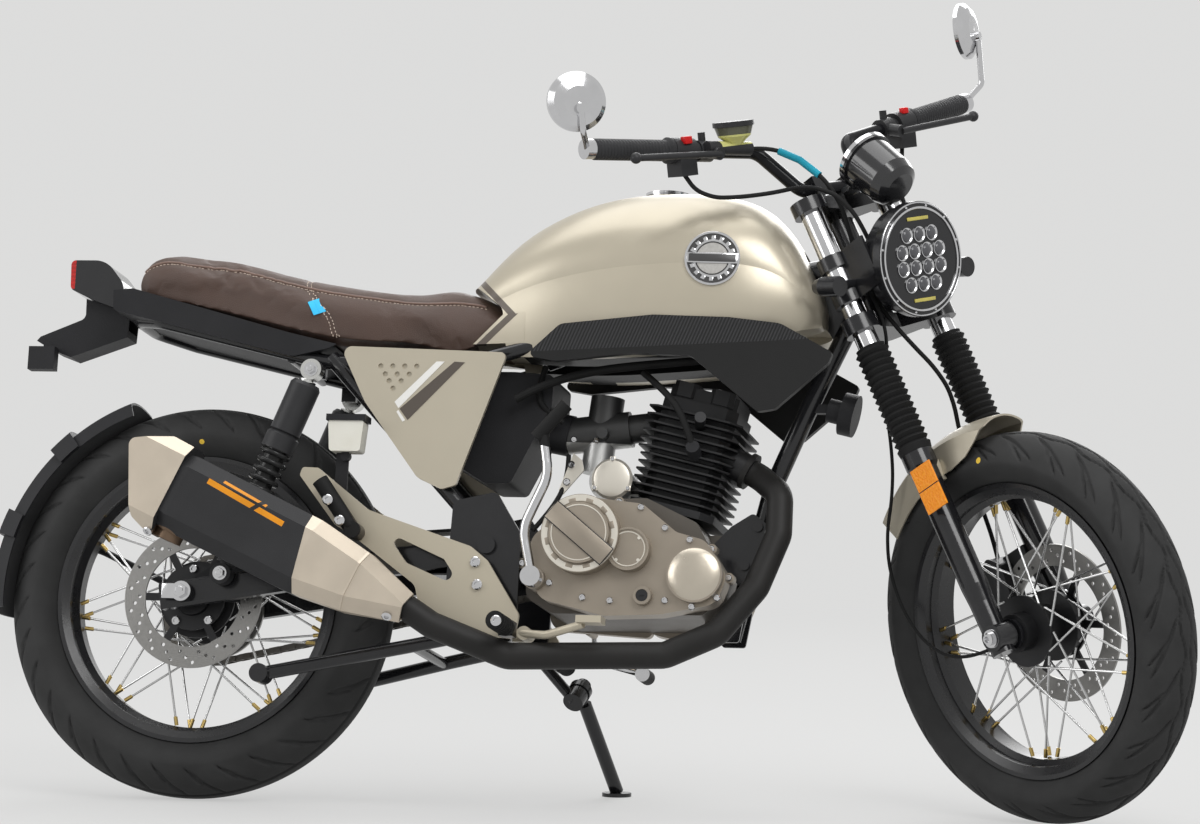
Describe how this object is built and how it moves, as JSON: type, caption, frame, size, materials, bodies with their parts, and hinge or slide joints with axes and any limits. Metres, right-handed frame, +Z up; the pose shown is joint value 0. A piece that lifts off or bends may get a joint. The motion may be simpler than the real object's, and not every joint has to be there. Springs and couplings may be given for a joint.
{
  "type": "cafe racer motorcycle",
  "caption": "Air-cooled cafe racer motorcycle with spoked wheels, round tank, flat brown seat, twin shocks and gaitered fork, leaning on its side stand with the bars at the stop.",
  "frame": {"origin": "centre of the bounding box at floor level", "axes": "+X forward, +Y towards the rider's left, +Z up from the floor"},
  "size_m": [1.964, 0.8405, 1.3104],
  "materials": {
    "frame_black": "gloss",
    "champagne_paint": "satin",
    "black_plastic": "satin",
    "brown_leather": "satin",
    "engine_bronze": "satin",
    "cast_aluminium": "satin",
    "black_alloy": "satin",
    "black_exhaust": "matte",
    "chrome": "polished",
    "bright_steel": "satin",
    "black_steel": "satin",
    "tyre_rubber": "matte",
    "red_lens": "gloss",
    "cable_sheath": "satin"
  },
  "bodies": {
    "chassis": {"frame_spine": "frame_black", "frame_down_tube": "frame_black", "frame_pivot_plates": "frame_black", "rear_subframe": "frame_black", "swingarm": "frame_black", "shock_absorbers": "bright_steel", "rear_mudguard": "black_plastic", "crankcase": "cast_aluminium", "engine_covers": "engine_bronze", "cylinder": "black_alloy", "cylinder_head": "black_alloy", "starter_motor": "cast_aluminium", "carburettor": "cast_aluminium", "air_box": "black_plastic", "exhaust_pipe": "black_exhaust", "muffler": "black_exhaust", "fuel_tank": "champagne_paint", "tank_trim": "black_plastic", "seat": "brown_leather", "tail_cover": "black_plastic", "side_covers": "champagne_paint", "tail_light": "red_lens", "plate_bracket": "black_plastic", "footrests": "champagne_paint", "foot_levers": "cast_aluminium", "chain": "bright_steel", "chain_guard": "black_plastic", "rear_brake": "black_steel", "horn": "black_plastic"},
    "fork": {"fork_yokes": "frame_black", "stanchions": "chrome", "fork_sliders": "black_alloy", "fork_gaiters": "black_plastic", "front_mudguard": "champagne_paint", "front_caliper": "black_steel", "handlebar": "black_steel", "hand_controls": "black_plastic", "mirrors": "chrome", "instrument": "black_plastic", "headlight": "black_steel", "headlight_bracket": "frame_black", "front_brake_hose": "cable_sheath", "speedometer_cable": "cable_sheath", "switch_looms": "cable_sheath"},
    "rear_wheel": {"rear_tyre": "tyre_rubber", "rear_rim": "black_alloy", "rear_spokes": "bright_steel", "rear_hub": "bright_steel"},
    "front_wheel": {"front_tyre": "tyre_rubber", "front_rim": "black_alloy", "front_spokes": "bright_steel", "front_hub": "bright_steel"},
    "side_stand": {"side_stand": "frame_black"},
    "centre_stand": {"centre_stand": "frame_black"}
  },
  "joints": [
    {"name": "rear_wheel_spin", "type": "hinge", "parent": "chassis", "child": "rear_wheel", "pos_m": [-0.63305, -0.14231, 0.31176], "axis": [0, 0.9792, -0.2028], "continuous": true},
    {"name": "steering", "type": "hinge", "parent": "chassis", "child": "fork", "pos_m": [0.36848, -0.01028, 0.9493], "axis": [-0.4325, 0.1828, 0.8829], "range_deg": [0, 81.6]},
    {"name": "front_wheel_spin", "type": "hinge", "parent": "fork", "child": "front_wheel", "pos_m": [0.72343, -0.17272, 0.30508], "axis": [0.5891, 0.7986, 0.1232], "continuous": true},
    {"name": "side_stand_fold", "type": "hinge", "parent": "chassis", "child": "side_stand", "pos_m": [-0.0329, -0.0354, 0.1771], "axis": [0.1713, 0.8348, 0.5233], "range_deg": [0, 89.36]},
    {"name": "centre_stand_fold", "type": "hinge", "parent": "chassis", "child": "centre_stand", "pos_m": [-0.16498, -0.15333, 0.25853], "axis": [0, -0.9792, 0.2028], "range_deg": [0, 82]}
  ]
}
